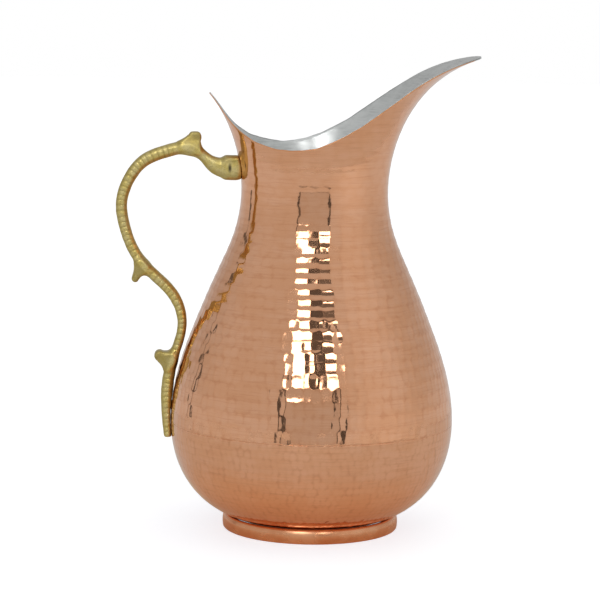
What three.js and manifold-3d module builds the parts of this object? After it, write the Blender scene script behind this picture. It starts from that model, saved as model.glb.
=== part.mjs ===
// A hammered copper water jug, tinned inside, on a soldered foot ring, with a cast brass S handle.
// Millimetres, +Z up. The origin is the middle of the underside of the whole object's box, +X points
// from the handle to the spout, and the object is the same on both sides of the XZ plane.
// The sheet is drawn as one outline from the middle of the base to the tip of the spout, and the
// pieces made of sheet are slices of it: the bowl below the seam, the body above it, the tin inside.

import * as THREE from 'three';
import { mergeVertices } from 'three/addons/utils/BufferGeometryUtils.js';
import Module from 'manifold-3d';

const wasm = await Module();
wasm.setup();

// --- driving dimensions ---

// The jug's own axis lies this far toward the spout from the middle of the whole object.
const AXIS_X = 9.6;

// Outer face of the sheet, as control points [radius, height] of a cubic B-spline.
const WALL_OUTLINE = [
  [48.1, 8.6], [72.0, 18.8], [88.7, 61.6], [65.9, 122.7],
  [54.4, 149.1], [32.0, 196.9], [58.4, 259.5], [93.2, 270.1],
];
// The dished base runs on from it inside the foot, as a quadratic curve and then a flat disc.
const BASE_CURVE = [[26.0, 4.0], [37.3, 4.0], [48.1, 8.6]];

// Height of the cut mouth, as control points [degrees round from the spout, height].
const RIM_OUTLINE = [
  [0, 270.1], [21.9, 270.1], [31.8, 252.3], [95.7, 209.4],
  [170.3, 231.3], [174.3, 242.8], [180, 248.5],
];

const SHEET = 1.2;
const SEAM_Z = 62.0;
const SEAM_GAP = 0.1;
const TIN_GAP = 0.1;
const TIN = 0.3;

// Section of the foot ring [radius, height], from the inner bottom corner outward and round.
const FOOT_SECTION = [
  [47.4, 0], [49.5, 0], [50.2, 1.0], [50.4, 3.4], [50.1, 5.4], [49.2, 6.7],
  [47.8, 7.2], [46.4, 7.4], [43.6, 6.3], [43.2, 5.0], [46.6, 4.6], [47.4, 3.8],
];

// Middle line of the handle strap from the neck down, as control points [x from the jug's axis,
// height, half its thickness], and then half its width at shares of the way along it.
const HANDLE_SPINE = [
  [-41.0, 206.2, 6.8], [-58.2, 204.7, 5.8], [-64.5, 221.1, 2.7], [-92.4, 213.1, 3.3],
  [-101.2, 207.7, 3.1], [-110.9, 189.5, 3.0], [-108.2, 173.7, 2.9], [-102.7, 157.4, 2.7],
  [-91.0, 145.0, 2.8], [-78.3, 134.6, 2.9], [-72.7, 117.4, 2.3], [-78.4, 101.2, 2.3],
  [-83.1, 85.7, 3.5], [-83.3, 68.5, 3.1], [-82.0, 52.0, 2.2],
];
const HANDLE_HALF_WIDTH = [[0, 6.5], [0.06, 6.5], [0.14, 5.0], [0.8, 4.8], [1, 4.2]];
// Where the strap's bevels start, as shares of its half thickness and of its half width.
const STRAP_BEVEL = [0.45, 0.6];
// Each spur is a finger between two circles: [x, z, radius] inside the strap and at its tip.
const SPURS = [
  [[-70.6, 216.6, 6.0], [-68.0, 223.9, 3.3]],
  [[-96.6, 149.2, 4.0], [-101.9, 142.5, 1.3]],
  [[-81.4, 96.4, 4.8], [-87.1, 99.2, 3.0]],
];
const SPUR_HALF_WIDTH = 4.6;
const SPUR_BEVEL = 1.0;
const HANDLE_GAP = 0.3;

// Copper rivets: a domed head inside the jug, and a shank that ends blind in the brass.
const RIVET_HEAD_RADIUS = 3.4;
const RIVET_HEAD_HEIGHT = 2.0;
const RIVET_RADIUS = 2.0;
const RIVET_HOLE_RADIUS = 2.2;
const RIVET_END_GAP = 0.4;
const WASHER_RADIUS = 4.6;
const WASHER_THICKNESS = 0.8;
const WASHER_GAP = 0.1;
const UPPER_RIVET = { z: 206.3, reach: 8.0 };
const LOWER_RIVET = { z: 71.0, reach: 3.0 };

// --- how finely the surfaces are cut ---

const HALF_COLUMNS = 20;
const COLUMN_CROWDING = 0.4;
const BASE_ROWS = 3;
const BOWL_ROWS = 6;
const BODY_ROWS = 13;
const SPINE_STEPS = 44;
const SPUR_STEPS = 12;
const ROUND_SEGMENTS = 16;
const DOME_STEPS = 4;
// Rows of the bowl stand closer together at its foot, where it curves most.
const BOWL_CROWDING = 1.6;
// Directions along a curve are taken between points this far apart: in height, and as a share of it.
const HEIGHT_STEP = 0.05;
const BASE_STEP = 0.01;
const SPINE_STEP = 0.001;
const HALVINGS = 40;
const MERGE_DISTANCE = 1e-4;

// --- curves ---

// Point of a clamped uniform cubic B-spline at u, from 0 to 1, for points of any dimension.
function splineAt(controls, u) {
  const spans = controls.length - 3;
  const knot = (i) => Math.min(Math.max(i - 3, 0), spans) / spans;
  const span = Math.min(Math.floor(u * spans), spans - 1);
  const points = controls.slice(span, span + 4).map((point) => [...point]);
  for (let level = 1; level <= 3; level += 1) {
    for (let j = 3; j >= level; j -= 1) {
      const low = knot(span + j);
      const high = knot(span + j + 4 - level);
      const t = (u - low) / (high - low);
      points[j] = points[j].map((value, k) => (1 - t) * points[j - 1][k] + t * value);
    }
  }
  return points[3];
}

// Where the given coordinate of a spline, which only grows, reaches a value.
function splineWhere(controls, coordinate, value) {
  let low = 0;
  let high = 1;
  for (let i = 0; i < HALVINGS; i += 1) {
    const middle = (low + high) / 2;
    if (splineAt(controls, middle)[coordinate] < value) low = middle;
    else high = middle;
  }
  return splineAt(controls, (low + high) / 2);
}

// An outline point moved into the sheet, square to the line between the points before and after it.
function setIn(before, point, after, inset) {
  const dr = after[0] - before[0];
  const dz = after[1] - before[1];
  const length = Math.hypot(dr, dz);
  return [Math.max(point[0] - (inset * dz) / length, 0), point[1] + (inset * dr) / length];
}

// Point of the sheet at a height, a given depth in from its outer face.
function wallAt(height, inset) {
  const lowest = WALL_OUTLINE[0][1];
  const highest = WALL_OUTLINE.at(-1)[1];
  const at = (z) => splineWhere(WALL_OUTLINE, 1, Math.min(Math.max(z, lowest), highest));
  return setIn(at(height - HEIGHT_STEP), at(height), at(height + HEIGHT_STEP), inset);
}

// Point of the dished base at t, from 0 at the middle of the jug to 1 where the wall starts.
function baseAt(t, inset) {
  const [start, bend, end] = BASE_CURVE.map(([r, z]) => new THREE.Vector2(r, z));
  const curve = new THREE.CurvePath();
  curve.add(new THREE.LineCurve(new THREE.Vector2(0, start.y), start));
  curve.add(new THREE.QuadraticBezierCurve(start, bend, end));
  const at = (s) => curve.getPointAt(Math.min(Math.max(s, 0), 1)).toArray();
  const point = setIn(at(t - BASE_STEP), at(t), at(t + BASE_STEP), inset);
  return t === 0 ? [0, point[1]] : point;
}

function rimHeight(azimuth) {
  return splineWhere(RIM_OUTLINE, 0, THREE.MathUtils.radToDeg(azimuth))[1];
}

// --- solids ---

// Directions round the jug, from the spout, closer together at the spout and at the handle.
function columnAzimuths() {
  return Array.from({ length: 2 * HALF_COLUMNS }, (_, i) => {
    const turn = i / HALF_COLUMNS;
    return Math.PI * (turn - (COLUMN_CROWDING * Math.sin(2 * Math.PI * turn)) / (2 * Math.PI));
  });
}

// Merges shared vertices, drops triangles that have shrunk to a line, and faces the rest outward.
function closed(geometry) {
  geometry.deleteAttribute('normal');
  geometry.deleteAttribute('uv');
  const merged = mergeVertices(geometry, MERGE_DISTANCE);
  const position = merged.getAttribute('position');
  const corners = [];
  let volume = 0;
  for (let i = 0; i < merged.index.count; i += 3) {
    const [a, b, c] = [0, 1, 2].map((k) => merged.index.getX(i + k));
    if (a !== b && b !== c && c !== a) {
      corners.push([a, b, c]);
      const [p, q, r] = [a, b, c].map((k) => new THREE.Vector3().fromBufferAttribute(position, k));
      volume += p.dot(q.cross(r));
    }
  }
  merged.setIndex(corners.map((abc) => (volume > 0 ? abc : [abc[0], abc[2], abc[1]])).flat());
  return merged;
}

// Solid whose section at each azimuth is a loop of [radius, height] points.
function roundSolid(loopAt) {
  const columns = columnAzimuths().map((azimuth) => {
    const fromSpout = Math.min(azimuth, 2 * Math.PI - azimuth);
    return loopAt(fromSpout).map(([r, z]) => [r * Math.cos(azimuth), r * Math.sin(azimuth), z]);
  });
  return netSolid(columns, true);
}

// Solid between rows of points that each close on themselves, either in a ring or with flat ends.
// The second half of a row comes back beside the first, so its squares are split the other way, and
// faces that lie against each other are split alike.
function netSolid(rows, ring) {
  const count = rows[0].length;
  const geometry = new THREE.BufferGeometry();
  geometry.setAttribute('position', new THREE.Float32BufferAttribute(rows.flat(2), 3));
  const index = [];
  const lastRow = ring ? rows.length : rows.length - 1;
  for (let i = 0; i < lastRow; i += 1) {
    const here = i * count;
    const next = ((i + 1) % rows.length) * count;
    for (let j = 0; j < count; j += 1) {
      const k = (j + 1) % count;
      if (j < count / 2) index.push(here + j, next + j, next + k, here + j, next + k, here + k);
      else index.push(here + j, next + j, here + k, next + j, next + k, here + k);
    }
  }
  if (!ring) {
    const end = lastRow * count;
    for (let j = 1; j < count - 1; j += 1) {
      index.push(0, j, j + 1, end, end + j + 1, end + j);
    }
  }
  geometry.setIndex(index);
  return closed(geometry);
}

// Solid turned about the vertical axis from [radius, height] points, which start and end on it or
// come back to where they started.
function turned(points, segments) {
  const outline = points.map(([r, z]) => new THREE.Vector2(r, z));
  return closed(new THREE.LatheGeometry(outline, segments).rotateX(Math.PI / 2));
}

// --- booleans ---

function toSolid(geometry) {
  const vertProperties = new Float32Array(geometry.getAttribute('position').array);
  const triVerts = new Uint32Array(geometry.index.array);
  return new wasm.Manifold(new wasm.Mesh({ numProp: 3, vertProperties, triVerts }));
}

function toGeometry(solid) {
  const mesh = solid.getMesh();
  const geometry = new THREE.BufferGeometry();
  geometry.setAttribute('position', new THREE.BufferAttribute(mesh.vertProperties, 3));
  geometry.setIndex(new THREE.BufferAttribute(mesh.triVerts, 1));
  return geometry;
}

// The hole for a rivet, bored level from inside the jug toward the handle.
function rivetHole(rivet) {
  const depth = rivet.reach + RIVET_END_GAP;
  const start = -wallAt(rivet.z, 0)[0] - depth;
  const length = depth + 2 * RIVET_HEAD_HEIGHT + 2 * SHEET;
  const hole = new THREE.CylinderGeometry(RIVET_HOLE_RADIUS, RIVET_HOLE_RADIUS, length, ROUND_SEGMENTS);
  hole.rotateZ(Math.PI / 2).translate(start + length / 2, 0, rivet.z);
  return toSolid(closed(hole));
}

const RIVET_HOLES = rivetHole(UPPER_RIVET).add(rivetHole(LOWER_RIVET));

// --- the sheet pieces ---

function spread(from, to, steps) {
  return Array.from({ length: steps + 1 }, (_, i) => from + ((to - from) * i) / steps);
}

const BASE_STATIONS = spread(0, 1, BASE_ROWS).slice(0, -1);
const BOWL_HEIGHTS = spread(0, 1, BOWL_ROWS).map((t) => {
  return WALL_OUTLINE[0][1] + (SEAM_Z - SEAM_GAP - WALL_OUTLINE[0][1]) * t ** BOWL_CROWDING;
});

// Closed strip between two depths in the sheet, along base stations and then heights.
function strip(stations, heights, outerInset, innerInset) {
  const along = (inset) => [
    ...stations.map((t) => baseAt(t, inset)),
    ...heights.map((z) => wallAt(z, inset)),
  ];
  return [...along(outerInset), ...along(innerInset).reverse()];
}

function bodyHeights(azimuth) {
  return spread(SEAM_Z, rimHeight(azimuth), BODY_ROWS);
}

function upperBody() {
  const shell = roundSolid((azimuth) => strip([], bodyHeights(azimuth), 0, SHEET));
  return toGeometry(toSolid(shell).subtract(RIVET_HOLES));
}

function lowerBowl() {
  return roundSolid(() => strip(BASE_STATIONS, BOWL_HEIGHTS, 0, SHEET));
}

function tinLining() {
  const outer = SHEET + TIN_GAP;
  const coat = roundSolid((azimuth) => {
    const heights = [...BOWL_HEIGHTS, ...bodyHeights(azimuth).slice(1)];
    return strip(BASE_STATIONS, heights, outer, outer + TIN);
  });
  return toGeometry(toSolid(coat).subtract(RIVET_HOLES));
}

function footRing() {
  return roundSolid(() => FOOT_SECTION);
}

// --- the handle ---

function handleHalfWidth(u) {
  const after = HANDLE_HALF_WIDTH.findIndex(([at]) => at >= u);
  if (after <= 0) return HANDLE_HALF_WIDTH[0][1];
  const [[u0, w0], [u1, w1]] = HANDLE_HALF_WIDTH.slice(after - 1, after + 1);
  return THREE.MathUtils.mapLinear(u, u0, u1, w0, w1);
}

// Eight-sided strap, bevelled along its four edges.
function strap() {
  const [flat, side] = STRAP_BEVEL;
  const corners = [
    [-flat, -1], [flat, -1], [1, -side], [1, side], [flat, 1], [-flat, 1], [-1, side], [-1, -side],
  ];
  const rows = spread(0, 1, SPINE_STEPS).map((u) => {
    const [x, z, halfThickness] = splineAt(HANDLE_SPINE, u);
    const [x0, z0] = splineAt(HANDLE_SPINE, Math.max(u - SPINE_STEP, 0));
    const [x1, z1] = splineAt(HANDLE_SPINE, Math.min(u + SPINE_STEP, 1));
    const length = Math.hypot(x1 - x0, z1 - z0);
    const across = [(z0 - z1) / length, (x1 - x0) / length];
    return corners.map(([a, b]) => [
      x + across[0] * a * halfThickness,
      b * handleHalfWidth(u),
      z + across[1] * a * halfThickness,
    ]);
  });
  return toSolid(netSolid(rows, false));
}

// Flat finger with a round end and bevelled edges, standing in the handle's plane.
function spur([root, tip]) {
  const along = Math.atan2(tip[1] - root[1], tip[0] - root[0]);
  const distance = Math.hypot(tip[0] - root[0], tip[1] - root[1]);
  const tangent = Math.acos((root[2] - tip[2]) / distance);
  const outline = new THREE.Shape();
  const arc = ([x, z, radius], from, to) => {
    spread(from, to, SPUR_STEPS / 2).forEach((angle) => {
      outline.lineTo(x + radius * Math.cos(angle), z + radius * Math.sin(angle));
    });
  };
  outline.moveTo(
    root[0] + root[2] * Math.cos(along + tangent),
    root[1] + root[2] * Math.sin(along + tangent),
  );
  arc(root, along + tangent, along + 2 * Math.PI - tangent);
  arc(tip, along - tangent, along + tangent);
  const finger = new THREE.ExtrudeGeometry(outline, {
    depth: 2 * (SPUR_HALF_WIDTH - SPUR_BEVEL),
    bevelThickness: SPUR_BEVEL,
    bevelSize: SPUR_BEVEL,
    bevelOffset: -SPUR_BEVEL,
    bevelSegments: 1,
  });
  finger.translate(0, 0, SPUR_BEVEL - SPUR_HALF_WIDTH).rotateX(Math.PI / 2);
  return toSolid(closed(finger));
}

// Everything inside the jug's outer face and a little beyond, which the handle is fitted against.
function fittingBody() {
  return toSolid(roundSolid((azimuth) => {
    const outer = [...BOWL_HEIGHTS, ...bodyHeights(azimuth)].map((z) => wallAt(z, -HANDLE_GAP));
    const axis = spread(WALL_OUTLINE.at(-1)[1], WALL_OUTLINE[0][1], outer.length - 1);
    return [...outer, ...axis.map((z) => [0, z])];
  }));
}

function handle() {
  const casting = SPURS.reduce((solid, ends) => solid.add(spur(ends)), strap());
  return toGeometry(casting.subtract(fittingBody()).subtract(RIVET_HOLES));
}

// --- rivets and washers ---

// Distance from the jug's axis to the washer's back, clear of the round wall at the washer's edge.
function washerSeat(rivet) {
  const edges = [rivet.z - WASHER_RADIUS, rivet.z + WASHER_RADIUS];
  const inner = Math.min(...edges.map((z) => wallAt(z, SHEET + TIN_GAP + TIN)[0]));
  return Math.sqrt(inner ** 2 - WASHER_RADIUS ** 2) - WASHER_GAP;
}

// Turns a piece made upright about the Z axis so that its top points from the handle to the spout.
function layAlongRivet(geometry, rivet) {
  return geometry.rotateY(Math.PI / 2).translate(-washerSeat(rivet), 0, rivet.z);
}

function washer(rivet) {
  const corners = [
    [RIVET_HOLE_RADIUS, 0], [WASHER_RADIUS, 0], [WASHER_RADIUS, WASHER_THICKNESS],
    [RIVET_HOLE_RADIUS, WASHER_THICKNESS], [RIVET_HOLE_RADIUS, 0],
  ];
  return layAlongRivet(turned(corners, ROUND_SEGMENTS), rivet);
}

function rivetPiece(rivet) {
  const seat = WASHER_THICKNESS + WASHER_GAP;
  const end = washerSeat(rivet) - wallAt(rivet.z, 0)[0] - rivet.reach;
  const dome = spread(0, Math.PI / 2, DOME_STEPS).map((angle) => [
    RIVET_HEAD_RADIUS * Math.cos(angle),
    seat + RIVET_HEAD_HEIGHT * Math.sin(angle),
  ]);
  dome[DOME_STEPS][0] = 0;
  return layAlongRivet(
    turned([[0, end], [RIVET_RADIUS, end], [RIVET_RADIUS, seat], ...dome], ROUND_SEGMENTS),
    rivet,
  );
}

// --- assembly ---

const COPPER = new THREE.MeshStandardMaterial({ color: 0xc88a66, metalness: 1, roughness: 0.32 });
const POLISHED_COPPER = new THREE.MeshStandardMaterial({ color: 0xcc8158, metalness: 1, roughness: 0.22 });
const TINNED = new THREE.MeshStandardMaterial({ color: 0xb2b5b3, metalness: 1, roughness: 0.38 });
const BRASS = new THREE.MeshStandardMaterial({ color: 0xc0ad68, metalness: 1, roughness: 0.4 });

const jug = new THREE.Group();
jug.name = 'copper_water_jug';
jug.position.x = AXIS_X;

function addPiece(name, geometry, material) {
  const mesh = new THREE.Mesh(geometry, material);
  mesh.name = name;
  jug.add(mesh);
}

addPiece('upper_body', upperBody(), COPPER);
addPiece('lower_bowl', lowerBowl(), COPPER);
addPiece('foot_ring', footRing(), POLISHED_COPPER);
addPiece('tin_lining', tinLining(), TINNED);
addPiece('handle', handle(), BRASS);
addPiece('upper_rivet', rivetPiece(UPPER_RIVET), TINNED);
addPiece('upper_washer', washer(UPPER_RIVET), TINNED);
addPiece('lower_rivet', rivetPiece(LOWER_RIVET), TINNED);
addPiece('lower_washer', washer(LOWER_RIVET), TINNED);

export default jug;
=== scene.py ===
"""The looks of a hammered copper water jug: hammered sheet, polished foot, wiped tin and cast brass.

The jug is drawn in millimetres about its own axis and put where the frame says. The curves are the
ones that the frame was made from, and a comment says so where a piece is drawn more finely.
"""

import math

import bpy
import numpy as np
from mathutils import Matrix, Vector


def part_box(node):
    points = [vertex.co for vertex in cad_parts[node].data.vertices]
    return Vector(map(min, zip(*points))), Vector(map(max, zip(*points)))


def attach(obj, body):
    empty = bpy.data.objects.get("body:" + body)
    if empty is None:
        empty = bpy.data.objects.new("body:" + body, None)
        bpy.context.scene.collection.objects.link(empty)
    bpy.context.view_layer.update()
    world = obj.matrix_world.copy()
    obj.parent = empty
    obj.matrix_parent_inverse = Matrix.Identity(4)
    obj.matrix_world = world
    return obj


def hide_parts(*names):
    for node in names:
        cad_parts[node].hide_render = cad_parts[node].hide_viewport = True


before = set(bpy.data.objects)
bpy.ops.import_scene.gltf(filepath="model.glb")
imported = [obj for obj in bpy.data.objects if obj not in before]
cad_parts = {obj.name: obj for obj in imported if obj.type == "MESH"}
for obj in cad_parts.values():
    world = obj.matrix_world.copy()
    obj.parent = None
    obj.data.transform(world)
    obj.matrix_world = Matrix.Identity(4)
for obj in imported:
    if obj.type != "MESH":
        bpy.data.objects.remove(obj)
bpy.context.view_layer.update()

MM = 0.001
SEED = 20

# --- the jug's curves, in millimetres ---

foot_low, foot_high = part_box("foot_ring")
AXIS_X = (foot_low.x + foot_high.x) / 2 / MM

# Outer face of the sheet, as control points [radius, height] of a cubic B-spline.
WALL_OUTLINE = [
    [48.1, 8.6], [72.0, 18.8], [88.7, 61.6], [65.9, 122.7],
    [54.4, 149.1], [32.0, 196.9], [58.4, 259.5], [93.2, 270.1],
]
# The dished base inside the foot: a flat disc, then a quadratic curve out to the wall.
BASE_CURVE = [[26.0, 4.0], [37.3, 4.0], [48.1, 8.6]]
# Height of the cut mouth, as control points [degrees round from the spout, height].
RIM_OUTLINE = [
    [0, 270.1], [21.9, 270.1], [31.8, 252.3], [95.7, 209.4],
    [170.3, 231.3], [174.3, 242.8], [180, 248.5],
]
# Section of the foot ring, a little squarer and closer to the bowl than the frame's.
FOOT_SECTION = [
    [47.4, 0], [49.7, 0], [50.2, 0.6], [50.4, 3.2], [50.3, 5.4], [50.0, 6.6], [49.6, 7.5],
    [49.0, 8.1], [48.3, 8.3], [47.3, 8.1], [46.3, 7.7], [43.6, 6.3], [43.2, 5.0], [46.6, 4.6],
    [47.4, 3.8],
]
SHEET = 1.2
SEAM_Z = 62.0
TIN_GAP = 0.1
TIN = 0.3

# Middle line of the handle: [x from the jug's axis, height, half its thickness]. It leaves the boss
# more finely drawn than the frame's.
HANDLE_SPINE = [
    [-44.0, 206.3, 5.6], [-51.0, 205.6, 5.5], [-58.3, 208.0, 4.4], [-61.8, 212.0, 2.5],
    [-70.0, 218.4, 3.2], [-77.0, 217.8, 3.2], [-92.4, 213.1, 3.3], [-101.2, 207.7, 3.1],
    [-110.9, 189.5, 3.0], [-108.2, 173.7, 2.9], [-102.7, 157.4, 2.7], [-91.0, 145.0, 2.8],
    [-78.3, 134.6, 2.9], [-72.7, 117.4, 2.3], [-78.4, 101.2, 2.3], [-83.1, 85.7, 3.5],
    [-83.3, 68.5, 3.1], [-82.0, 52.0, 2.2],
]
# Half its width, at shares of the way along it.
HANDLE_HALF_WIDTH = [[0, 6.2], [0.06, 5.8], [0.14, 5.0], [0.8, 4.8], [1, 4.2]]
# Each spur is a finger between two circles [x, z, radius].
SPURS = [
    [[-70.6, 219.0, 4.7], [-68.2, 223.7, 3.5]],
    [[-98.6, 149.2, 3.0], [-101.4, 143.1, 1.8]],
    [[-83.2, 96.4, 3.8], [-87.2, 98.8, 2.9]],
]
# The top spur is filed flat at this height.
SPUR_TOP = 226.6


def spline(controls, u):
    """Points of a clamped uniform cubic B-spline at each u, from 0 to 1."""
    controls = np.asarray(controls, float)
    spans = len(controls) - 3
    knots = np.concatenate(([0.0] * 3, np.linspace(0, 1, spans + 1), [1.0] * 3))
    span = np.clip((u * spans).astype(int), 0, spans - 1)
    points = controls[span[:, None] + np.arange(4)]
    for level in (1, 2, 3):
        for j in range(3, level - 1, -1):
            low = knots[span + j]
            high = knots[span + j + 4 - level]
            t = ((u - low) / (high - low))[:, None]
            points[:, j] = (1 - t) * points[:, j - 1] + t * points[:, j]
    return points[:, 3]


class Outline:
    """A fine polyline [radius, height], its length from its start, and its outward normals."""

    def __init__(self, points):
        steps = np.linalg.norm(np.diff(points, axis=0), axis=1)
        along = np.gradient(points, axis=0)
        along /= np.linalg.norm(along, axis=1)[:, None]
        self.points = points
        self.length = np.concatenate(([0], np.cumsum(steps)))
        self.normals = np.stack([along[:, 1], -along[:, 0]], axis=1)

    def at(self, s, inset=0.0):
        """Point at length s, set in from the face."""
        inward = [np.interp(s, self.length, -self.normals[:, k]) for k in (0, 1)]
        point = [np.interp(s, self.length, self.points[:, k]) for k in (0, 1)]
        return np.maximum(point[0] + inset * inward[0], 0), point[1] + inset * inward[1]


BASE_POINTS = 200


def base_points():
    """The dished base from the jug's axis out to the wall."""
    (r0, z0), (r1, z1), (r2, z2) = BASE_CURVE
    t = np.linspace(0, 1, BASE_POINTS)
    bend = np.stack([(1 - t) ** 2 * r0 + 2 * t * (1 - t) * r1 + t**2 * r2,
                     (1 - t) ** 2 * z0 + 2 * t * (1 - t) * z1 + t**2 * z2], axis=1)
    flat = np.stack([np.linspace(0, r0, BASE_POINTS), np.full(BASE_POINTS, z0)], axis=1)
    return np.concatenate([flat[:-1], bend])


WALL_POINTS = 6001
RIM_POINTS = 2001

wall = spline(WALL_OUTLINE, np.linspace(0, 1, WALL_POINTS))
outline = Outline(np.concatenate([base_points()[:-1], wall]))
rim_curve = spline(RIM_OUTLINE, np.linspace(0, 1, RIM_POINTS))


def length_at(height):
    """Length along the outline at which the wall, which only rises, reaches a height."""
    start = len(outline.points) - len(wall)
    return np.interp(height, wall[:, 1], outline.length[start:])


def wall_radius(height):
    """Radius of the wall's outer face at a height."""
    return np.interp(height, wall[:, 1], wall[:, 0])


def from_spout(azimuth):
    """Degrees round from the spout, on either side."""
    turn = np.degrees(azimuth) % 360
    return np.minimum(turn, 360 - turn)


def ripple(azimuth, waves):
    """A sum of sines round the jug, from (turns, size, phase)."""
    return sum(size * np.sin(turns * azimuth + phase) for turns, size, phase in waves)


# The shears leave the cut a little uneven, but not at the spout's tip: from EVEN_FROM up it is even.
RIM_WAVES = [(9, 0.12, 0.4), (14, 0.10, 2.1), (23, 0.08, 4.0), (37, 0.05, 1.3)]
EVEN_FROM = 268.0
EVEN_REACH = 10.0


def rim_length(azimuth):
    """Length along the outline at which the mouth is cut."""
    height = np.interp(from_spout(azimuth), rim_curve[:, 0], rim_curve[:, 1])
    uneven = ripple(azimuth, RIM_WAVES) * np.clip((EVEN_FROM - height) / EVEN_REACH, 0, 1)
    return length_at(np.minimum(height + uneven, WALL_OUTLINE[-1][1]))


# --- hammer work ---

# Rows of blows along the wall: where a zone starts [mm of height], a blow's height and width, how
# deep it is, how far it strays from its row [share of its size], and how steeply it rises sideways,
# from 0 to STEEPNESS. What that leaves of STEEPNESS is how steeply it rises up and down.
ZONES = [
    {"from": 0.0, "height": 3.6, "width": 3.6, "depth": 0.075, "stray": 0.20, "sideways": 0.88},
    {"from": 33.0, "height": 4.0, "width": 3.8, "depth": 0.085, "stray": 0.20, "sideways": 0.85},
    {"from": SEAM_Z, "height": 7.4, "width": 5.0, "depth": 0.150, "stray": 0.16, "sideways": 0.66},
    {"from": 100.0, "height": 6.6, "width": 5.6, "depth": 0.175, "stray": 0.12, "sideways": 0.60},
    {"from": 128.0, "height": 6.3, "width": 6.6, "depth": 0.160, "stray": 0.09, "sideways": 0.56},
    {"from": 178.0, "height": 5.2, "width": 8.0, "depth": 0.055, "stray": 0.10, "sideways": 0.60},
]
RIDGE_SHARPNESS = 16.0
STEEPNESS = 1.5
# How much blows differ in depth, how much each leans along the wall and round it, and how high a
# point may lie over a blow that is far from it.
DEPTH_LUCK = 0.35
LEAN_ALONG = 0.25
LEAN_ACROSS = 0.12
HIGHEST = 2.0


def blow_rows():
    """Every row of blows, from the foot up: its middle, half height, count and its zone's numbers."""
    rows = []
    top = outline.length[-1]
    ends = [length_at(zone["from"]) for zone in ZONES[1:]] + [top + ZONES[-1]["height"]]
    start = length_at(0.0)
    for zone, end in zip(ZONES, ends):
        count = max(round((end - start) / zone["height"]), 1)
        pitch = (end - start) / count
        for i in range(count):
            middle = start + (i + 0.5) * pitch
            radius = float(outline.at(np.array([middle]))[0][0])
            across = max(round(2 * math.pi * radius / zone["width"]), 8)
            rows.append((middle, pitch / 2, across, zone["depth"], zone["stray"], zone["sideways"]))
        start = end
    return rows


# The dished base is smooth, and so is the first bit of the wall above the foot.
WALL_START = length_at(WALL_OUTLINE[0][1])
UNTOUCHED = 2.0
BLOW_COLUMNS = [np.array(column) for column in zip(*blow_rows())]
MIDDLES, HALF_HEIGHTS, COUNTS, DEPTHS, STRAYS, SIDEWAYS = BLOW_COLUMNS
# Each blow's own luck: where it strays across and along, how deep it is, and how it leans.
BLOW_LUCK = np.random.default_rng(SEED).uniform(-1, 1, (len(MIDDLES), COUNTS.max(), 4))


def row_at(s):
    """Index of the row of blows at each length."""
    return np.clip(np.searchsorted(MIDDLES + HALF_HEIGHTS, s), 0, len(MIDDLES) - 1)


def hammered(azimuth, s):
    """How far each point is knocked in, in millimetres. Neighbouring blows meet in ridges."""
    home = row_at(s)
    turn = (azimuth / (2 * np.pi)) % 1
    total = np.zeros_like(s)
    for up in (-1, 0, 1):
        row = np.clip(home + up, 0, len(MIDDLES) - 1)
        place = turn * COUNTS[row] + 0.5 * (row % 2)
        for over in (-1, 0, 1):
            cell = np.floor(place) + over
            luck = BLOW_LUCK[row, (cell % COUNTS[row]).astype(int)]
            across = 2 * (place - cell - 0.5 - STRAYS[row] * luck[:, 0])
            along = (s - MIDDLES[row]) / HALF_HEIGHTS[row] - STRAYS[row] * luck[:, 1]
            lean = LEAN_ALONG * luck[:, 3] * along + LEAN_ACROSS * luck[:, 2] * across
            reach = SIDEWAYS[row] * across**2 + (STEEPNESS - SIDEWAYS[row]) * along**2 - 1 + lean
            height = np.minimum(reach * (1 + DEPTH_LUCK * luck[:, 2]), HIGHEST)
            total += np.exp(-RIDGE_SHARPNESS * height)
    deepest = np.log(total) / RIDGE_SHARPNESS
    return deepest * DEPTHS[home] * np.clip((s - WALL_START) / UNTOUCHED, 0, 1)


# --- meshes ---


def add_object(name, points, faces, material):
    """A mesh object from points in millimetres about the jug's axis."""
    mesh = bpy.data.meshes.new(name)
    placed = (np.asarray(points, float) + [AXIS_X, 0, 0]) * MM
    mesh.from_pydata(placed.tolist(), [], faces)
    mesh.validate()
    mesh.polygons.foreach_set("use_smooth", [True] * len(mesh.polygons))
    piece = bpy.data.objects.new(name, mesh)
    bpy.context.scene.collection.objects.link(piece)
    mesh.materials.append(material)
    return piece


def grid_faces(rows, columns):
    """Quads of a grid of points that closes on itself both round its columns and along its rows."""
    i, j = np.meshgrid(np.arange(rows), np.arange(columns), indexing="ij")
    up = (i + 1) % rows
    over = (j + 1) % columns
    corners = [i * columns + j, i * columns + over, up * columns + over, up * columns + j]
    return np.stack(corners, axis=-1).reshape(-1, 4).tolist()


def revolved(rows, azimuth):
    """Points of rows of (radius, height) arrays, one value for each azimuth."""
    rings = [np.stack([r * np.cos(azimuth), r * np.sin(azimuth), z], axis=1) for r, z in rows]
    return np.concatenate(rings)


def mark(piece, name, values):
    """Stores a number at each point of a piece, for its material."""
    attribute = piece.data.attributes.new(name, "FLOAT", "POINT")
    attribute.data.foreach_set("value", np.asarray(values, np.float32))


# How much of the sheet's thickness raising has taken at the mouth, and how far down from it.
THINNED = 0.5
THIN_REACH = 25.0


def sheet_thickness(s, azimuth):
    """Raising has drawn the sheet thin toward the cut mouth."""
    return SHEET - THINNED * np.clip(1 - (rim_length(azimuth) - s) / THIN_REACH, 0, 1)


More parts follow.
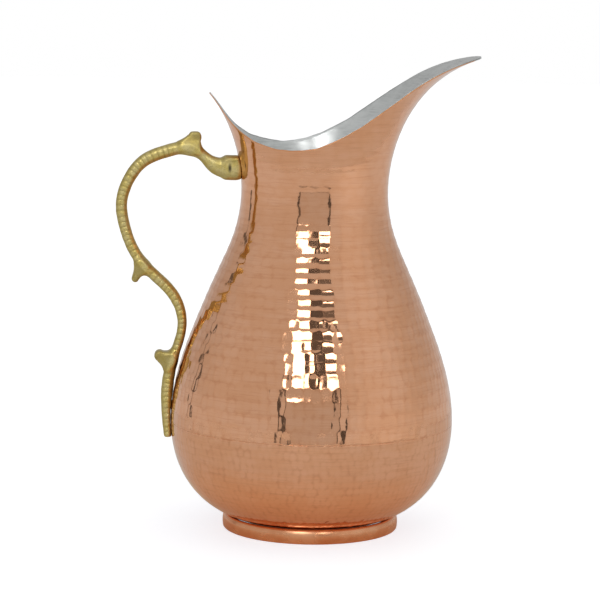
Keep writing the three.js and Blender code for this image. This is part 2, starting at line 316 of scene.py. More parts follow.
def knocked(s, azimuth, share, tin=0.0):
    """(radius, height) of points of the sheet, at a share of its thickness in from its outer face, or
    with tin=1 or tin=2 on the hidden or the bare face of the tin. The two hidden faces are smooth."""
    thickness = sheet_thickness(s, azimuth)
    depth = share * thickness
    if tin:
        depth = depth + TIN_GAP + (tin - 1) * TIN * thickness / SHEET
    if share < 1 or tin == 2:
        depth = depth + hammered(azimuth, s)
    return outline.at(s, depth)


def sheet_lengths(start, end, count):
    """Lengths of rows that are evenly spread from start to end."""
    return [start + (end - start) * t for t in np.linspace(0, 1, count)]


def sheet_rows(start, end, count, azimuth, share=0, tin=0.0):
    """Rows of one face from the length start to the length end, evenly spread at every azimuth."""
    return [knocked(s, azimuth, share, tin) for s in sheet_lengths(start, end, count)]


# Rows and columns of points in each piece. The back rows are hidden, and the base rows are smooth.
BODY_COLUMNS = 640
BODY_ROWS = 260
BACK_ROWS = 60
BOWL_COLUMNS = 720
BOWL_ROWS = 130
BASE_ROWS = 40
TIN_COLUMNS = BODY_COLUMNS
TIN_ROWS = 190
TIN_BACK_ROWS = 90
# The innermost rows stop this far from the jug's axis.
CENTRE = 0.4
# The sheared edge: how far its rounding reaches down the faces, and its rows across the thickness.
EDGE = 0.2
EDGE_SHARES = [0.12, 0.45, 0.55, 0.92]
# How bare and how tinned the copper is, from the last outer row over the edge's rows to the back.
CUT_MARKS = [0.35, 1, 1, 0.5, 0]
TINNED_MARKS = [0, 0, 0, 0.6, 1, 1]
# The seam is a shallow groove: its depth and half its width, with a hair's gap between the pieces.
SEAM_DIP = 0.06
SEAM_HALF = 0.12
SEAM_GAP = 0.02


def mark_rows(piece, name, row_count, first, values):
    """Stores one number for every point of each row, from the row first on, and 0 for the others."""
    of_rows = np.zeros(row_count)
    of_rows[first:first + len(values)] = values
    mark(piece, name, np.repeat(of_rows, len(piece.data.vertices) // row_count))


def mark_dents(piece, rows, azimuth, lengths, first):
    """Stores how deep in its blow each point of the outer face lies: 1 is its zone's usual depth."""
    dents = np.zeros((len(rows), len(azimuth)))
    for i, s in enumerate(lengths):
        depth = hammered(azimuth, s)
        dents[first + i] = np.clip(depth / DEPTHS[row_at(s)], -0.5, 1.5)
    mark(piece, "dent", dents.ravel())


def azimuths(count):
    """Evenly spread directions round the jug."""
    return np.linspace(0, 2 * np.pi, count, endpoint=False)


def hammered_body(material):
    """The sheet above the seam: its outer face, the sheared edge, and its back against the tin."""
    azimuth = azimuths(BODY_COLUMNS)
    low = np.full_like(azimuth, length_at(SEAM_Z) + SEAM_HALF)
    top = rim_length(azimuth)
    rows = [outline.at(low - SEAM_HALF + SEAM_GAP, np.full_like(azimuth, SEAM_DIP))]
    rows += sheet_rows(low, top - EDGE, BODY_ROWS, azimuth)
    rows += [knocked(top, azimuth, share) for share in EDGE_SHARES]
    rows += sheet_rows(top - EDGE, low - SEAM_HALF + SEAM_GAP, BACK_ROWS, azimuth, share=1)
    points = revolved(rows, azimuth)
    piece = add_object("hammered_body", points, grid_faces(len(rows), len(azimuth)), material)
    mark_rows(piece, "cut_edge", len(rows), BODY_ROWS, CUT_MARKS)
    mark_rows(piece, "tinned_edge", len(rows), BODY_ROWS, TINNED_MARKS)
    mark_dents(piece, rows, azimuth, sheet_lengths(low, top - EDGE, BODY_ROWS), 1)
    return piece


def hammered_bowl(material):
    """The sheet below the seam and the dished base, with its back against the tin."""
    azimuth = azimuths(BOWL_COLUMNS)
    centre = np.full_like(azimuth, CENTRE)
    foot = np.full_like(azimuth, length_at(WALL_OUTLINE[0][1]))
    top = np.full_like(azimuth, length_at(SEAM_Z) - SEAM_HALF)
    rows = sheet_rows(centre, foot, BASE_ROWS, azimuth)[:-1]
    rows += sheet_rows(foot, top, BOWL_ROWS, azimuth)
    rows += [outline.at(top + SEAM_HALF, np.full_like(azimuth, SEAM_DIP))]
    rows += sheet_rows(top + SEAM_HALF, centre, BACK_ROWS, azimuth, share=1)
    points = revolved(rows, azimuth)
    piece = add_object("hammered_bowl", points, grid_faces(len(rows), len(azimuth)), material)
    mark_dents(piece, rows, azimuth, sheet_lengths(foot, top, BOWL_ROWS), BASE_ROWS - 1)
    return piece


def wiped_tin(material):
    """The tin over the whole inside. The blows show through it as low bumps."""
    azimuth = azimuths(TIN_COLUMNS)
    centre = np.full_like(azimuth, CENTRE)
    top = rim_length(azimuth)
    rows = sheet_rows(top, centre, TIN_ROWS, azimuth, share=1, tin=2)
    rows += sheet_rows(centre, top, TIN_BACK_ROWS, azimuth, share=1, tin=1)
    points = revolved(rows, azimuth)
    return add_object("wiped_tin", points, grid_faces(len(rows), len(azimuth)), material)


FOOT_COLUMNS = 320
# Points along each side of the foot's section. They stop short of its corners, which leaves them soft.
SIDE_SHARES = (0.2, 0.5, 0.8)


def turned_foot(material):
    """The foot ring, turned, with soft corners."""
    section = np.array(FOOT_SECTION, float)
    azimuth = azimuths(FOOT_COLUMNS)
    rows = []
    for here, after in zip(section, np.roll(section, -1, axis=0)):
        for share in SIDE_SHARES:
            r, z = (1 - share) * here + share * after
            rows.append((np.full_like(azimuth, r), np.full_like(azimuth, z)))
    faces = grid_faces(len(rows), len(azimuth))
    return add_object("turned_foot", revolved(rows, azimuth), faces, material)


# --- the cast handle, from its signed distance ---

# Size of the grid's cells.
CELL = 0.36
RIB_PITCH = 2.9
RIB_DEPTH = 0.30
# The ribs start this share of the way along the strap, past the top spur.
RIBS_START = 0.17
# Where the slopes off the ribbed side start, as a share of the half thickness, and how far they fall.
# The first is the outer one.
BEVELS = [(1, 0.40, 1.3), (-1, 0.32, 1.8)]
# What the rounded edges would take off the outline is added all over.
FULLNESS = 0.22
SPUR_HALF_WIDTH = 4.6
SPUR_FILLET = 4.5
BOSS = (-47.4, 206.7)
BOSS_HALF = (5.2, 6.3, 6.5)
BOSS_ROUNDING = 2.6
BOSS_FILLET = 2.0
# How softly the strap's edges, its slopes and its end, and the spurs' tops and sides, are rounded.
STRAP_SOFTNESS = 0.35
BEVEL_SOFTNESS = 0.22
END_SOFTNESS = 0.5
SPUR_TOP_SOFTNESS = 0.3
SPUR_SIDE_SOFTNESS = 0.6
HANDLE_GAP = 0.10
# The wall leans by so much beside the handle that a level gap is this much of the square one.
WALL_LEAN = 0.93
CAST_UNEVENNESS = 0.05
CASTING_MARK = (-48.4, 206.8)
# The ribs die away over this share of the half thickness, at both edges of the side.
RIB_FADE = 0.45


def soft_max(a, b, softness):
    """The larger of two distances, with the edge where they meet rounded off."""
    return np.maximum(a, b) + softness * np.log1p(np.exp(-np.abs(a - b) / softness))


def soft_min(a, b, softness):
    """The smaller of two distances, joined by a fillet of about that size."""
    mix = np.clip(0.5 + 0.5 * (b - a) / softness, 0, 1)
    return b * (1 - mix) + a * mix - softness * mix * (1 - mix)


def finger_distance(x, z, ends):
    """Signed distance in the plane to a finger between two circles."""
    (x0, z0, r0), (x1, z1, r1) = ends
    length = math.hypot(x1 - x0, z1 - z0)
    along = ((x - x0) * (x1 - x0) + (z - z0) * (z1 - z0)) / length
    across = np.abs((x - x0) * (z1 - z0) - (z - z0) * (x1 - x0)) / length
    lean = (r0 - r1) / length
    rise = math.sqrt(1 - lean**2)
    side = along + across * lean / rise
    flank = across * rise + (along * lean) - r0
    near = np.hypot(along, across) - r0
    far = np.hypot(along - length, across) - r1
    return np.where(side < 0, near, np.where(side > length, far, flank))


SPINE_POINTS = 1201
SPINE = spline(HANDLE_SPINE, np.linspace(0, 1, SPINE_POINTS))
SPINE_STEPS = np.gradient(SPINE[:, :2], axis=0)
SPINE_WAY = SPINE_STEPS / np.linalg.norm(SPINE_STEPS, axis=1)[:, None]
SPINE_LENGTH = np.cumsum(np.linalg.norm(SPINE_STEPS, axis=1))


# Points looked up at a time, to spare memory.
BATCH = 20000


def nearest_on_spine(x, z):
    """Index of the nearest point of the handle's middle line, for points of the handle's plane."""
    points = np.stack([x.ravel(), z.ravel()], axis=1)
    found = np.zeros(len(points), int)
    for start in range(0, len(points), BATCH):
        gap = points[start:start + BATCH, None] - SPINE[None, :, :2]
        found[start:start + BATCH] = np.argmin((gap**2).sum(axis=2), axis=1)
    return found.reshape(x.shape)


def rib_groove(length, x, z):
    """0 on the ribs' tops and 1 between them, and 0 where the casting is plain."""
    wave = 0.5 + 0.5 * np.cos(2 * np.pi * (length + 0.55 * np.sin(0.31 * length)) / RIB_PITCH)
    ribbed = np.clip((length - SPINE_LENGTH[-1] * RIBS_START) / 3, 0, 1)
    for (root_x, root_z, radius), _ in SPURS:
        ribbed = ribbed * np.clip((np.hypot(x - root_x, z - root_z) - radius - 0.5) / 2, 0, 1)
    return wave**3 * ribbed


def strap_distance(x, y, z, near):
    """Signed distance to the handle's strap: a flat ribbed side, sloping off outward and inward."""
    dx = x - SPINE[near, 0]
    dz = z - SPINE[near, 1]
    across = dx * SPINE_WAY[near, 1] - dz * SPINE_WAY[near, 0]
    thick = SPINE[near, 2]
    shares, widths = zip(*HANDLE_HALF_WIDTH)
    wide = np.interp(near / (len(SPINE) - 1), shares, widths)
    groove = rib_groove(SPINE_LENGTH[near], x, z)
    band = np.clip((1 - np.abs(across) / thick) / RIB_FADE, 0, 1)
    side = y - wide + RIB_DEPTH * groove * band
    distance = soft_max(side, np.abs(across) - thick, STRAP_SOFTNESS)
    for sign, start, drop in BEVELS:
        run = (1 - start) * thick
        slope = np.hypot(run, drop)
        bevel = ((sign * across - start * thick) * drop + (y - wide) * run) / slope
        distance = soft_max(distance, bevel, BEVEL_SOFTNESS)
    end = (x - SPINE[-1, 0]) * SPINE_WAY[-1, 0] + (z - SPINE[-1, 1]) * SPINE_WAY[-1, 1]
    return soft_max(distance, end, END_SOFTNESS)


def boss_distance(x, y, z):
    """Signed distance to the block with round corners that stands against the neck."""
    corner = BOSS_ROUNDING
    offsets = (x - BOSS[0], y + 0 * x, z - BOSS[1])
    beyond = np.array([np.abs(v) - half + corner for v, half in zip(offsets, BOSS_HALF)])
    outside = np.sqrt((np.maximum(beyond, 0) ** 2).sum(axis=0))
    return outside + np.minimum(beyond.max(axis=0), 0) - corner


def cast_waviness(x, y, z):
    """The casting's skin is a little uneven."""
    chance = np.random.default_rng(SEED + 1)
    total = 0
    for _ in range(9):
        way = chance.normal(size=3)
        way *= 2 * np.pi / (np.linalg.norm(way) * chance.uniform(3.5, 9.0))
        total = total + np.sin(way[0] * x + way[1] * y + way[2] * z + chance.uniform(0, 6.3))
    return CAST_UNEVENNESS * total / 3


def handle_distance(x, y, z, near):
    """Signed distance to the whole handle, cut back to leave a gap to the jug's wall."""
    y = np.abs(y)
    distance = strap_distance(x, y, z, near)
    distance = soft_min(distance, boss_distance(x, y, z), BOSS_FILLET)
    for ends in SPURS:
        spur = soft_max(finger_distance(x, z, ends), z - SPUR_TOP, SPUR_TOP_SOFTNESS)
        spur = soft_max(spur, y - SPUR_HALF_WIDTH, SPUR_SIDE_SOFTNESS)
        distance = soft_min(distance, spur, SPUR_FILLET)
    gap = np.hypot(x, y) - wall_radius(z)
    return np.maximum(distance - FULLNESS, (HANDLE_GAP - gap) * WALL_LEAN)


CORNERS = np.array([[i, j, k] for i in (0, 1) for j in (0, 1) for k in (0, 1)])
CORNER_PAIRS = [(a, b) for a in range(8) for b in range(a + 1, 8)]
CELL_EDGES = [(a, b) for a, b in CORNER_PAIRS if np.abs(CORNERS[a] - CORNERS[b]).sum() == 1]


def surface_net(field):
    """Points, in cells, and quads of the surface where a grid of signed distances is zero."""
    inside = field < 0
    corner_sets = [inside[c[0]:inside.shape[0] - 1 + c[0], c[1]:inside.shape[1] - 1 + c[1],
                          c[2]:inside.shape[2] - 1 + c[2]] for c in CORNERS]
    count = sum(part.astype(np.int8) for part in corner_sets)
    cells = np.argwhere((count > 0) & (count < 8))
    values = np.stack([field[tuple((cells + corner).T)] for corner in CORNERS], axis=1)
    total = np.zeros((len(cells), 3))
    crossings = np.zeros(len(cells))
    for a, b in CELL_EDGES:
        crossed = (values[:, a] < 0) != (values[:, b] < 0)
        change = np.where(crossed, values[:, a] - values[:, b], 1)
        share = np.where(crossed, values[:, a] / change, 0)[:, None]
        total += crossed[:, None] * (CORNERS[a] + share * (CORNERS[b] - CORNERS[a]))
        crossings += crossed
    points = cells + total / crossings[:, None]
    number = np.full(np.array(field.shape) - 1, -1)
    number[tuple(cells.T)] = np.arange(len(cells))
    quads = []
    for axis in range(3):
        first, second = [np.eye(3, dtype=int)[(axis + turn) % 3] for turn in (1, 2)]
        ahead = np.roll(inside, -1, axis)
        change = inside != ahead
        change[tuple(slice(-1, None) if k == axis else slice(None) for k in range(3))] = False
        at = np.argwhere(change)
        around = [number[tuple((at - shift).T)] for shift in (0 * first, first, first + second, second)]
        quad = np.stack(around, axis=1)
        leaving = inside[tuple(at.T)]
        quads.append(np.where(leaving[:, None], quad, quad[:, ::-1]))
    return points, np.concatenate(quads)


def cast_handle(material):
    """The brass handle in one piece, polygonised from its signed distance."""
    low, high = [np.array(corner) / MM - [AXIS_X, 0, 0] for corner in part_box("handle")]
    low -= 2 * CELL
    x = np.arange(low[0], high[0] + 3 * CELL, CELL)
    y = np.arange(low[1], high[1] + 3 * CELL, CELL)
    z = np.arange(low[2], high[2] + 3 * CELL, CELL)
    flat_x, flat_z = np.meshgrid(x, z, indexing="ij")
    near = nearest_on_spine(flat_x, flat_z)
    field = np.stack([handle_distance(flat_x, level, flat_z, near) + cast_waviness(flat_x, level, flat_z)
                      for level in y], axis=1)
    points, quads = surface_net(field)
    points = points * CELL + [x[0], y[0], z[0]]
    piece = add_object("cast_handle", points, quads.tolist(), material)
    found = nearest_on_spine(points[:, 0], points[:, 2])
    side = np.clip(np.abs(points[:, 1]) - 3.2, 0, 1)
    mark(piece, "groove", rib_groove(SPINE_LENGTH[found], points[:, 0], points[:, 2]) * side)
    spot = np.hypot((points[:, 0] - CASTING_MARK[0]) / 0.9, (points[:, 2] - CASTING_MARK[1]) / 2.4)
    across = (points[:, 0] - SPINE[found, 0]) * SPINE_WAY[found, 1]
    across -= (points[:, 2] - SPINE[found, 1]) * SPINE_WAY[found, 0]
    mark(piece, "outer_slope", np.clip(across / SPINE[found, 2], -1.2, 1.2))
    mark(piece, "casting_mark", np.where(points[:, 1] < 0, np.clip(1.4 - spot, 0, 1), 0))
    return piece


# --- rivets ---

RIVET_SEGMENTS = 48
SHANK_RADIUS = 2.0
HEAD_HEIGHT = 2.0
WASHER_HOLE_RADIUS = 2.2
WASHER_CORNER = 0.2
# Rivet heads and washers are this share of the frame's radius, so that they stay inside its box.
FITTED = 0.98
DOME_POINTS = 12


def turned_level(name, node, profile, material):
    """A piece turned about a level axis through the middle of a node, from [distance, radius] points."""
    low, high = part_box(node)
    azimuth = azimuths(RIVET_SEGMENTS)
    beaten = 1 + 0.015 * ripple(azimuth, [(5, 1, 0.3), (8, 1, 1.9)])
    rings = []
    for distance, radius in profile:
        y = radius * beaten * np.cos(azimuth)
        z = radius * beaten * np.sin(azimuth) + (low.z + high.z) / 2 / MM
        rings.append(np.stack([np.full_like(azimuth, distance + low.x / MM - AXIS_X), y, z], axis=1))
    return add_object(name, np.concatenate(rings), grid_faces(len(rings), RIVET_SEGMENTS), material)


def rivet_profile(node):
    """A shank and a domed head, as [distance, radius] points."""
    low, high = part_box(node)
    length = (high.x - low.x) / MM
    radius = (high.y - low.y) / 2 / MM * FITTED
    turn = np.linspace(0, np.pi / 2, DOME_POINTS)
    dome = [(length - HEAD_HEIGHT + HEAD_HEIGHT * math.sin(t), radius * math.cos(t)) for t in turn[:-1]]
    shank = [(0.02, 0.05), (0.02, SHANK_RADIUS), (length - HEAD_HEIGHT, SHANK_RADIUS)]
    return [*shank, *dome, (length, 0.05)]


def washer_profile(node):
    """A washer with its outer corners taken off."""
    low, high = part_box(node)
    thick = (high.x - low.x) / MM
    radius = (high.y - low.y) / 2 / MM * FITTED
    soft = WASHER_CORNER
    return [(0, WASHER_HOLE_RADIUS), (0, radius - soft), (soft, radius), (thick - soft, radius),
            (thick, radius - soft), (thick, WASHER_HOLE_RADIUS)]


# --- materials ---


class Graph:
    """Adds nodes to a material or world. An input given as a socket is linked, and a value is set."""

    def __init__(self, owner):
        owner.use_nodes = True
        self.nodes = owner.node_tree.nodes
        self.links = owner.node_tree.links
        self.nodes.clear()

    def add(self, kind, inputs=(), **settings):
        node = self.nodes.new("ShaderNode" + kind)
        for name, value in settings.items():
            setattr(node, name, value)
        for name, value in dict(inputs).items():
            if isinstance(value, bpy.types.NodeSocket):
                self.links.new(value, node.inputs[name])
            else:
                node.inputs[name].default_value = value
        return node

    def math(self, operation, a, b=0.0):
        return self.add("Math", {0: a, 1: b}, operation=operation).outputs[0]

    def span(self, value, low, high, to_low=0.0, to_high=1.0):
        """Value carried smoothly from one range to another, and held at its ends."""
        inputs = {"Value": value, "From Min": low, "From Max": high, "To Min": to_low, "To Max": to_high}
        return self.add("MapRange", inputs, interpolation_type="SMOOTHSTEP").outputs["Result"]

    def within(self, value, low, high, soft):
        """1 between two values and 0 outside them, with soft edges."""
        rise = self.span(value, low - soft, low + soft)
        return self.math("MULTIPLY", rise, self.span(value, high - soft, high + soft, 1.0, 0.0))

    def mix(self, share, a, b):
        """A colour, or a number, between a and b."""
        if isinstance(a, (tuple, list)) or (isinstance(a, bpy.types.NodeSocket) and a.type == "RGBA"):
            node = self.add("Mix", {"Factor": share}, data_type="RGBA")
            for name, value in (("A", a), ("B", b)):
                socket = next(s for s in node.inputs if s.name == name and s.type == "RGBA")
                if isinstance(value, bpy.types.NodeSocket):
                    self.links.new(value, socket)
                else:
                    socket.default_value = (*value, 1.0) if len(value) == 3 else value
            return next(s for s in node.outputs if s.type == "RGBA")
        return self.add("Mix", {0: share, 2: a, 3: b}).outputs[0]

    def place(self, stretch=(1, 1, 1)):
        """Object coordinates in millimetres, stretched."""
        where = self.add("TexCoord").outputs["Object"]
        size = tuple(s / MM for s in stretch)
        return self.add("Mapping", {"Vector": where, "Scale": size}).outputs["Vector"]

    def noise(self, size, detail=3.0, stretch=(1, 1, 1)):
        """Soft noise whose lumps are about that size in millimetres."""
        inputs = {"Vector": self.place(stretch), "Scale": 1 / size, "Detail": detail, "Roughness": 0.55}
        return self.add("TexNoise", inputs).outputs[0]

    def height(self):
        """Height over the floor, in millimetres."""
        return self.add("SeparateXYZ", {0: self.place()}).outputs[2]

    def attribute(self, name):
        return self.add("Attribute", attribute_name=name).outputs["Fac"]

    def bump(self, height, depth, strength=1.0, normal=None):
        """Small relief: height from 0 to 1 stands for a depth in millimetres."""
        inputs = {"Height": height, "Distance": depth * MM, "Strength": strength}
        if normal is not None:
            inputs["Normal"] = normal
        return self.add("Bump", inputs).outputs[0]

    def metal(self, colour, roughness, normal=None):
        inputs = {"Base Color": colour, "Roughness": roughness, "Metallic": 1.0}
        if normal is not None:
            inputs["Normal"] = normal
        shader = self.add("BsdfPrincipled", inputs)
        self.links.new(shader.outputs[0], self.add("OutputMaterial").inputs["Surface"])


COPPER = (0.89, 0.453, 0.25)
COPPER_PALE = (0.93, 0.505, 0.305)
COPPER_RED = (0.80, 0.34, 0.165)
# Dark copper for the painted shade on the ridges between the blows, and for random streaks.
SHADE_AND_STREAK_COPPER = (0.66, 0.27, 0.13)
CUT_COPPER = (0.78, 0.34, 0.13)
TINNED = (0.76, 0.78, 0.77)
TIN_DULL = (0.56, 0.58, 0.57)
BRASS = (0.80, 0.64, 0.205)
BRASS_PALE = (0.85, 0.73, 0.34)
# Dark brass for the random grain and for the painted shade on the slopes and in the grooves.
BRASS_DARK_AND_SHADE = (0.30, 0.22, 0.06)
TINNED_TIP = 5.5


def hammered_copper():
    """Hammered and hand-polished copper: cloudy, with painted light on the blows (paler dent middles,
    painted shade on the ridges between them), and a tinned lip and tip.
    """
    material = bpy.data.materials.new("hammered_copper")
    g = Graph(material)
    clouds = g.span(g.noise(22, 4), 0.32, 0.68)
    rings = g.span(g.noise(7, 5, stretch=(0.25, 0.25, 1.8)), 0.3, 0.7)
    flecks = g.span(g.noise(1.6, 3), 0.62, 0.80)
    dent = g.attribute("dent")
    tone = g.math("ADD", g.math("MULTIPLY", clouds, 0.5), g.math("MULTIPLY", rings, 0.3))
    # Painted light: the dents' middles are painted paler; the same tone also makes them a little less
    # rough.
    tone = g.math("ADD", tone, g.span(dent, 0.2, 1.1, 0.0, 0.2))
    colour = g.mix(g.span(tone, 0.1, 0.95), COPPER, COPPER_PALE)
    # Painted shade on the ridges between the blows, broken up by noise and fainter up the neck.
    broken = g.span(g.noise(5.0, 3), 0.42, 0.62, 0.1, 1.0)
    ridge_shade = g.math("MULTIPLY", g.span(dent, -0.1, 0.6, 1.0, 0.0), broken)
    ridge_shade = g.math("MULTIPLY", ridge_shade, g.span(g.height(), 150, 185, 0.36, 0.14))
    colour = g.mix(ridge_shade, colour, SHADE_AND_STREAK_COPPER)
    streaks = g.span(g.noise(1.3, 4, stretch=(0.07, 0.07, 1.4)), 0.5, 0.72)
    colour = g.mix(g.math("MULTIPLY", streaks, 0.28), colour, SHADE_AND_STREAK_COPPER)
    colour = g.mix(g.math("MULTIPLY", flecks, 0.35), colour, COPPER_RED)
    colour = g.mix(g.attribute("cut_edge"), colour, CUT_COPPER)
    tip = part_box("upper_body")[1].x / MM
    x = g.add("SeparateXYZ", {0: g.place()}).outputs[0]
    ragged = g.math("ADD", x, g.span(g.noise(2.0), 0.3, 0.7, -1.0, 1.0))
    tinned = g.span(ragged, tip - TINNED_TIP - 0.5, tip - TINNED_TIP + 0.5)
    tinned = g.math("MAXIMUM", tinned, g.attribute("tinned_edge"))
    colour = g.mix(tinned, colour, TIN_DULL)
    roughness = g.span(tone, 0.1, 0.95, 0.085, 0.055)
    roughness = g.math("ADD", roughness, g.math("MULTIPLY", flecks, 0.05))
    roughness = g.math("ADD", roughness, g.math("MULTIPLY", g.attribute("cut_edge"), 0.25))
    brushed = g.noise(1.2, 4, stretch=(0.4, 0.4, 1.6))
    relief = g.bump(brushed, 0.0025, 0.5)
    g.metal(colour, roughness, g.bump(g.noise(3.2, 1), 0.07, 0.5, relief))
    return material


def polished_copper():
    """Turned and polished copper: rings of fine turning marks."""
    material = bpy.data.materials.new("polished_copper")
    g = Graph(material)
    rings = g.noise(0.9, 4, stretch=(0.05, 0.05, 2.5))
    clouds = g.span(g.noise(14, 3), 0.35, 0.65)
    colour = g.mix(clouds, COPPER_RED, COPPER)
    roughness = g.span(g.math("MULTIPLY", g.math("ADD", rings, clouds), 0.5), 0.2, 0.8, 0.20, 0.30)
    g.metal(colour, roughness, g.bump(rings, 0.008, 0.5))
    return material


def wiped_tin_material():
    """Tin wiped on by hand: grey, cloudy, with faint strokes that run round."""
    material = bpy.data.materials.new("wiped_tin")
    g = Graph(material)
    clouds = g.span(g.noise(9, 4), 0.3, 0.7)
    strokes = g.noise(1.5, 5, stretch=(0.16, 0.16, 1.6))
    colour = g.mix(g.math("MULTIPLY", clouds, g.span(strokes, 0.25, 0.75)), TINNED, TIN_DULL)
    roughness = g.span(strokes, 0.25, 0.75, 0.27, 0.38)
    relief = g.bump(strokes, 0.008, 0.6)
    g.metal(colour, roughness, g.bump(g.noise(3.0, 2), 0.05, 0.5, relief))
    return material


def cast_brass():
    """Sand-cast brass, buffed: grainy skin, painted shade in the grooves and on the strap's slopes,
    rougher in the grooves, and one dark casting mark.
    """
    material = bpy.data.materials.new("cast_brass")
    g = Graph(material)
    clouds = g.span(g.noise(5, 4), 0.32, 0.68)
    grain = g.noise(0.55, 4)
    colour = g.mix(clouds, BRASS, BRASS_PALE)
    colour = g.mix(g.math("MULTIPLY", g.span(grain, 0.45, 0.7), 0.45), colour, BRASS_DARK_AND_SHADE)
    # Painted shade on the strap's slopes: the inner slope, which faces the jug, is painted darkest, more
    # so low down by the bowl, and the outer slope a little darker.
    slope = g.attribute("outer_slope")
    low = g.span(g.height(), 88, 104, 1.0, 0.0)
    inner_slope_shade = g.math("MULTIPLY", g.span(slope, -0.75, -0.15, 1.0, 0.0), g.mix(low, 0.4, 0.92))
    edge = g.math("MAXIMUM", g.span(slope, 0.45, 0.95, 0.0, 0.5), inner_slope_shade)
    colour = g.mix(edge, colour, BRASS_DARK_AND_SHADE)
    # Painted shade in the grooves between the ribs, which are also made rougher.
    groove_shade_and_dullness = g.math("MULTIPLY", g.attribute("groove"), 0.45)
    colour = g.mix(groove_shade_and_dullness, colour, BRASS_DARK_AND_SHADE)
    colour = g.mix(g.attribute("casting_mark"), colour, (0.10, 0.08, 0.05))
    roughness = g.math("ADD", g.span(clouds, 0.0, 1.0, 0.34, 0.44), g.math("MULTIPLY", groove_shade_and_dullness, 0.2))
    relief = g.bump(grain, 0.05, 0.5)
    g.metal(colour, roughness, g.bump(g.noise(2.2, 3), 0.10, 0.5, relief))
    return material


# --- the jug ---

copper = hammered_copper()
polished = polished_copper()
tin = wiped_tin_material()
brass = cast_brass()


def place_piece(piece, slot, *nodes):
    """Puts a piece on the jug's body in place of its nodes; slot is not used."""
    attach(piece, "root")
    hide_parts(*nodes)


place_piece(hammered_body(copper), "copper", "upper_body")
place_piece(hammered_bowl(copper), "copper", "lower_bowl")
place_piece(turned_foot(polished), "polished_copper", "foot_ring")
place_piece(wiped_tin(tin), "tin", "tin_lining")
place_piece(cast_handle(brass), "cast_brass", "handle")
for end in ("upper", "lower"):
    head = turned_level(f"{end}_rivet_head", f"{end}_rivet", rivet_profile(f"{end}_rivet"), tin)
    place_piece(head, "tin", f"{end}_rivet")
    ring = turned_level(f"{end}_rivet_washer", f"{end}_washer", washer_profile(f"{end}_washer"), tin)
    place_piece(ring, "tin", f"{end}_washer")

# --- studio ---

# The tent's brightness beside and in front of the jug, behind it, and overhead.
TENT = 0.56
TENT_BEHIND = 0.46
TENT_TOP = 0.62
# Low down it is as bright as the floor, so that the two meet without a line.
TENT_FOOT = 0.60
# Its open front: a grey panel with dark borders, and a bright window over it with a dark gap for the
# camera, in degrees to the right of the front and above the level.
PANEL = 0.50
PANEL_SIDES = (-27.5, 20.0)
PANEL_BOTTOM = -9.0
WINDOW_SIDES = (-24.5, 21.5)
WINDOW_BOTTOM = 21.6
WINDOW_TOP = 39.0
WINDOW = 4.5
CAMERA_GAP = (-7.0, 8.5)
SHADE_BOTTOM = 31.0
DARK = 0.07
POLE = -121.0


def light_tent():
    """A pale tent all round, with the panel and window in front and a thin dark pole at the back left."""
    world = bpy.data.worlds.new("light_tent")
    bpy.context.scene.world = world
    g = Graph(world)
    way = g.add("SeparateXYZ", {0: g.add("TexCoord").outputs["Generated"]}).outputs
    azimuth = g.math("DEGREES", g.math("ARCTAN2", way[0], g.math("MULTIPLY", way[1], -1)))
    elevation = g.math("DEGREES", g.math("ARCSINE", way[2]))
    light = g.span(way[1], -0.2, 0.9, TENT, TENT_BEHIND)
    light = g.mix(g.span(elevation, 42, 75), light, TENT_TOP)
    light = g.mix(g.span(elevation, -9, 12, 1.0, 0.0), light, TENT_FOOT)
    light = g.math("MULTIPLY", light, g.mix(g.within(azimuth, 32, 78, 22), 1.0, 1.17))

    def patch(light, sides, low, high, brightness, soft=0.3):
        wide = g.within(azimuth, *sides, soft)
        tall = g.within(elevation, low, high, soft)
        return g.mix(g.math("MULTIPLY", wide, tall), light, brightness)

    left, right = PANEL_SIDES
    light = patch(light, PANEL_SIDES, PANEL_BOTTOM, WINDOW_BOTTOM, PANEL)
    light = patch(light, (left - 1.5, left + 1.5), PANEL_BOTTOM + 1, WINDOW_BOTTOM, DARK)
    light = patch(light, (right - 1.5, right + 1.5), PANEL_BOTTOM + 1, WINDOW_BOTTOM, DARK)
    light = patch(light, PANEL_SIDES, PANEL_BOTTOM - 0.3, PANEL_BOTTOM + 0.3, 2 * DARK, soft=0.15)
    light = patch(light, WINDOW_SIDES, WINDOW_BOTTOM, WINDOW_TOP, WINDOW)
    light = patch(light, CAMERA_GAP, WINDOW_BOTTOM, WINDOW_TOP + 1, 1.6 * DARK, soft=0.5)
    shade = (CAMERA_GAP[1], WINDOW_SIDES[1])
    light = patch(light, shade, SHADE_BOTTOM, WINDOW_TOP + 1, 2.5 * DARK, soft=0.5)
    light = patch(light, (POLE - 1.6, POLE + 1.6), -6, 21, 1.5 * DARK, soft=0.6)
    seen = g.add("LightPath").outputs["Is Camera Ray"]
    light = g.mix(seen, light, 1.0)
    background = g.add("Background", {"Color": (1, 1, 1, 1), "Strength": light})
    g.links.new(background.outputs[0], g.add("OutputWorld").inputs["Surface"])


DISC_SIDES = 96


def disc(name, radius, material):
    """A round floor, which isn't part of the object."""
    corners = [(radius * math.cos(a), radius * math.sin(a), 0) for a in azimuths(DISC_SIDES)]
    mesh = bpy.data.meshes.new(name)
    mesh.from_pydata(corners, [], [tuple(range(DISC_SIDES))])
    mesh.materials.append(material)
    floor = bpy.data.objects.new(name, mesh)
    bpy.context.scene.collection.objects.link(floor)
    return floor


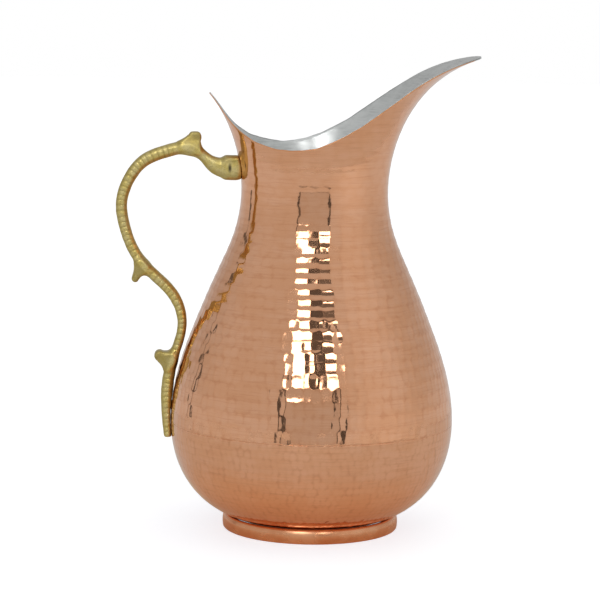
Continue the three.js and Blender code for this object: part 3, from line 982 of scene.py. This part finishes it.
def floor_material(name, near, far, glow):
    """A matt floor that glows a little, in one colour beside the jug and another farther off."""
    material = bpy.data.materials.new(name)
    g = Graph(material)
    distance = g.add("VectorMath", {0: g.place()}, operation="LENGTH").outputs["Value"]
    colour = g.mix(g.span(distance, 50, 150), near, far)
    inputs = {"Base Color": colour, "Roughness": 0.6}
    glowing = {"Emission Color": colour, "Emission Strength": glow}
    shader = g.add("BsdfPrincipled", {**inputs, **glowing})
    g.links.new(shader.outputs[0], g.add("OutputMaterial").inputs["Surface"])
    return material


SEEN_RADIUS = 6.0
MIRRORED_RADIUS = 0.55
# The mirrored floor lies this far under the seen one.
MIRRORED_DEPTH = 0.0002


def floors():
    """The pale floor that is seen, nearly white, and the dimmer one that the jug mirrors, painted warm
    beside the jug as a painted glow of light thrown off the copper.
    """
    white = floor_material("floor_seen", (0.47, 0.48, 0.50), (0.5, 0.5, 0.5), 1.48)
    seen = disc("floor", SEEN_RADIUS, white)
    seen.visible_glossy = False
    seen.visible_diffuse = False
    # The mirrored floor is painted warm beside the jug: a painted reflection of light thrown off the
    # copper.
    painted_copper_glow = floor_material("floor_with_painted_copper_glow", (0.90, 0.77, 0.60), (0.86, 0.85, 0.83), 0.08)
    lit = disc("floor_reflected", MIRRORED_RADIUS, painted_copper_glow)
    lit.location.z = -MIRRORED_DEPTH
    lit.visible_camera = False
    lit.visible_shadow = False


def soft_light(name, place, size, power):
    """A square area light that faces the jug."""
    light = bpy.data.lights.new(name, "AREA")
    light.size = size
    light.energy = power
    lamp = bpy.data.objects.new(name, light)
    lamp.location = place
    aim = Vector((0, 0, 0.13)) - Vector(place)
    lamp.rotation_euler = aim.to_track_quat("-Z", "Y").to_euler()
    bpy.context.scene.collection.objects.link(lamp)


# Camera: how far round from the front, how far away and how high, and what it aims at.
CAMERA_TURN = math.radians(-3.36)
CAMERA_DISTANCE = 1.3901
CAMERA_HEIGHT = 0.3155
AIM_LEFT = 0.00745
AIM_HEIGHT = 0.13116
CAMERA_ROLL = math.radians(0.82)
LENS = 147.3


def camera():
    """The camera, from the height and turn at which the jug is seen, with a slight roll."""
    data = bpy.data.cameras.new("camera")
    data.lens = LENS
    data.sensor_width = 36.0
    data.clip_start = 0.01
    eye = bpy.data.objects.new("camera", data)
    across = Vector((math.cos(CAMERA_TURN), math.sin(CAMERA_TURN), 0))
    back = Vector((math.sin(CAMERA_TURN), -math.cos(CAMERA_TURN), 0))
    middle = Vector((AXIS_X * MM, 0, 0))
    eye.location = middle + back * CAMERA_DISTANCE + Vector((0, 0, CAMERA_HEIGHT))
    aim = middle - across * AIM_LEFT + Vector((0, 0, AIM_HEIGHT)) - eye.location
    facing = aim.to_track_quat("-Z", "Y").to_matrix() @ Matrix.Rotation(CAMERA_ROLL, 3, "Z")
    eye.rotation_euler = facing.to_euler()
    bpy.context.scene.collection.objects.link(eye)
    bpy.context.scene.camera = eye


light_tent()
floors()
soft_light("overhead", (0.0, 0.1, 1.6), 1.4, 1.2)
camera()
bpy.context.scene.view_settings.view_transform = "Standard"
